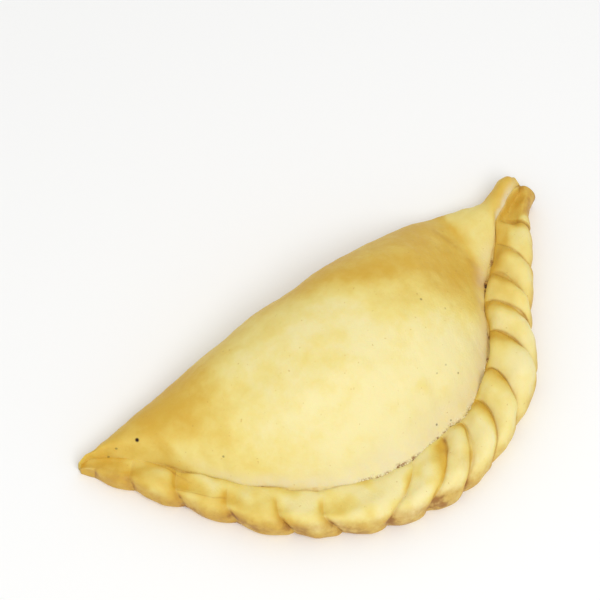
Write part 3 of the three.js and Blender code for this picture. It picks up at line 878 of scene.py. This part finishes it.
def plain_material(name, colour, roughness):
    """A material of one colour and roughness all over."""
    material = bpy.data.materials.new(name)
    material.use_nodes = True
    shader = material.node_tree.nodes["Principled BSDF"]
    fill(material.node_tree, shader, {"Base Color": linear(colour), "Roughness": roughness})
    return material


def strewing(crumb):
    """The node tree for small lumps of uneven size and turn, strewn over the faces it is given."""
    tree = bpy.data.node_groups.new("strewn_crumbs", "GeometryNodeTree")
    tree.interface.new_socket(name="Geometry", in_out="INPUT", socket_type="NodeSocketGeometry")
    for name in ("Crumbs per square metre", "Smallest", "Largest"):
        tree.interface.new_socket(name=name, in_out="INPUT", socket_type="NodeSocketFloat")
    tree.interface.new_socket(name="Geometry", in_out="OUTPUT", socket_type="NodeSocketGeometry")
    given = add(tree, "NodeGroupInput").outputs
    inputs = {"Mesh": given["Geometry"], "Density": given["Crumbs per square metre"], "Seed": 4}
    spots = add(tree, "GeometryNodeDistributePointsOnFaces", inputs)
    lump = add(tree, "GeometryNodeMeshIcoSphere", {"Radius": 1, "Subdivisions": 2})
    turn = add(tree, "FunctionNodeRandomValue", {1: (math.tau,) * 3}, data_type="FLOAT_VECTOR")
    inputs = {0: given["Smallest"], 1: given["Largest"]}
    size = add(tree, "FunctionNodeRandomValue", inputs, data_type="FLOAT_VECTOR")
    inputs = {"Points": spots, "Instance": lump, "Rotation": turn, "Scale": size}
    lumps = add(tree, "GeometryNodeInstanceOnPoints", inputs)
    whole = add(tree, "GeometryNodeRealizeInstances", {"Geometry": lumps})
    painted = add(tree, "GeometryNodeSetMaterial", {"Geometry": whole, "Material": crumb})
    add(tree, "NodeGroupOutput", {"Geometry": painted})
    return tree


def make_crumbs():
    """Crumbs of dry dough caught in the seam: a strip of the crust beside it, strewn with lumps."""
    crumb = plain_material("dry_crumb", DRY_CRUMB, 0.85)  # dried flour and water: pale and matt
    seam_row = int(on_dome[0].sum()) - 1
    strip_rows = np.arange(seam_row - CRUMB_ROWS, seam_row + CRUMB_ROWS + 1)
    strip_columns = np.where((seam_at[:, 0] > CRUMBS_FROM) & (seam_at[:, 0] < CRUMBS_TO))[0]
    strip_points = points[strip_columns[:, None] * rows + strip_rows[None, :]].reshape(-1, 3) * MM
    wide = len(strip_rows)
    corners = [i * wide + j for i in range(len(strip_columns) - 1) for j in range(wide - 1)]
    faces = [(c, c + wide, c + wide + 1, c + 1) for c in corners]
    strip = bpy.data.meshes.new("seam_strip")
    strip.from_pydata(strip_points.tolist(), [], faces)
    crumbs = in_scene("seam_crumbs", strip)
    modifier = crumbs.modifiers.new("strewn", "NODES")
    modifier.node_group = strewing(crumb)
    settings = {
        "Crumbs per square metre": CRUMB_DENSITY,
        "Smallest": SMALLEST_CRUMB * MM,
        "Largest": LARGEST_CRUMB * MM,
    }
    for socket in modifier.node_group.interface.items_tree:
        if socket.in_out == "INPUT" and socket.name in settings:
            modifier[socket.identifier] = settings[socket.name]
    state = bpy.context.evaluated_depsgraph_get()
    baked = bpy.data.meshes.new_from_object(crumbs.evaluated_get(state), depsgraph=state)
    crumbs.modifiers.clear()
    crumbs.data = baked
    baked.name = "seam_crumbs"
    baked.polygons.foreach_set("use_smooth", [True] * len(baked.polygons))
    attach(crumbs, BODY)


make_crumbs()


def direction(azimuth, elevation):
    """From the object towards a place round it. Azimuth 0 is in front, on the -Y side."""
    a, e = math.radians(azimuth), math.radians(elevation)
    return Vector((math.sin(a) * math.cos(e), -math.cos(a) * math.cos(e), math.sin(e)))


def make_floor():
    """Backdrop paper: near white and matt, so that it takes only a faint soft shadow."""
    sheet = bpy.data.meshes.new("floor")
    r = FLOOR_REACH
    sheet.from_pydata([(-r, -r, 0), (r, -r, 0), (r, r, 0), (-r, r, 0)], [], [(0, 1, 2, 3)])
    sheet.materials.append(plain_material("pale_floor", BACKDROP, 0.9))
    in_scene("floor", sheet)


def make_lights():
    """White light from all round, and one soft lamp that the shadows fall away from."""
    world = bpy.data.worlds.new("studio")
    bpy.context.scene.world = world
    world.use_nodes = True
    sky = {"Color": (1, 1, 1, 1), "Strength": SKY_STRENGTH}
    fill(world.node_tree, world.node_tree.nodes["Background"], sky)
    lamp = bpy.data.lights.new("soft_box", "AREA")
    lamp.shape = "DISK"
    lamp.size = LAMP_SIZE
    lamp.energy = LAMP_POWER
    soft_box = in_scene("soft_box", lamp)
    back = direction(*LAMP_FROM)
    soft_box.location = back * LAMP_DISTANCE
    soft_box.rotation_euler = (-back).to_track_quat("-Z", "Y").to_euler()


def make_camera():
    """The photograph's view, from above the crimp on the tab's side."""
    lens = bpy.data.cameras.new("camera")
    lens.lens = LENS
    lens.sensor_width = SENSOR
    camera = in_scene("camera", lens)
    back = direction(*VIEW_FROM)
    camera.location = Vector(VIEW_MIDDLE) * MM + back * VIEW_DISTANCE * MM
    camera.rotation_euler = (-back).to_track_quat("-Z", "Y").to_euler()
    bpy.context.scene.camera = camera


make_floor()
make_lights()
make_camera()
bpy.context.scene.view_settings.view_transform = "Standard"
